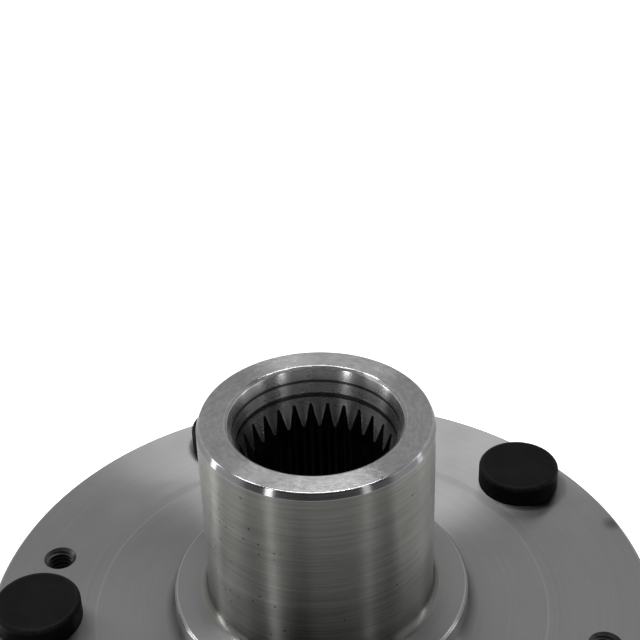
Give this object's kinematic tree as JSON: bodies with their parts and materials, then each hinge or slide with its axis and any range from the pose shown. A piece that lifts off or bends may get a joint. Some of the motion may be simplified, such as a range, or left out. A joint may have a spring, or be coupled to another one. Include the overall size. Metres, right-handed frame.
{
  "type": "wheel hub",
  "caption": "Drive flange hub with a splined bore, a plain journal for a press-in bearing, a round flange with a bolt circle of pressed-in studs, and a pilot.",
  "frame": {"origin": "centre of the wheel stud circle on the flange's outboard face, which the brake disc and wheel sit against", "axes": "+Z along the hub's axis towards the end of its neck (inboard); +X is to the right in the reference view"},
  "size_m": [0.135, 0.135, 0.087],
  "materials": {
    "hub_steel": "fine turned steel, bright, with faint circular tool marks",
    "stud_steel": "black oxide steel, satin"
  },
  "bodies": {
    "root": {"hub": "hub_steel", "wheel_stud_1": "stud_steel", "wheel_stud_2": "stud_steel", "wheel_stud_3": "stud_steel", "wheel_stud_4": "stud_steel", "wheel_stud_5": "stud_steel"}
  },
  "joints": []
}
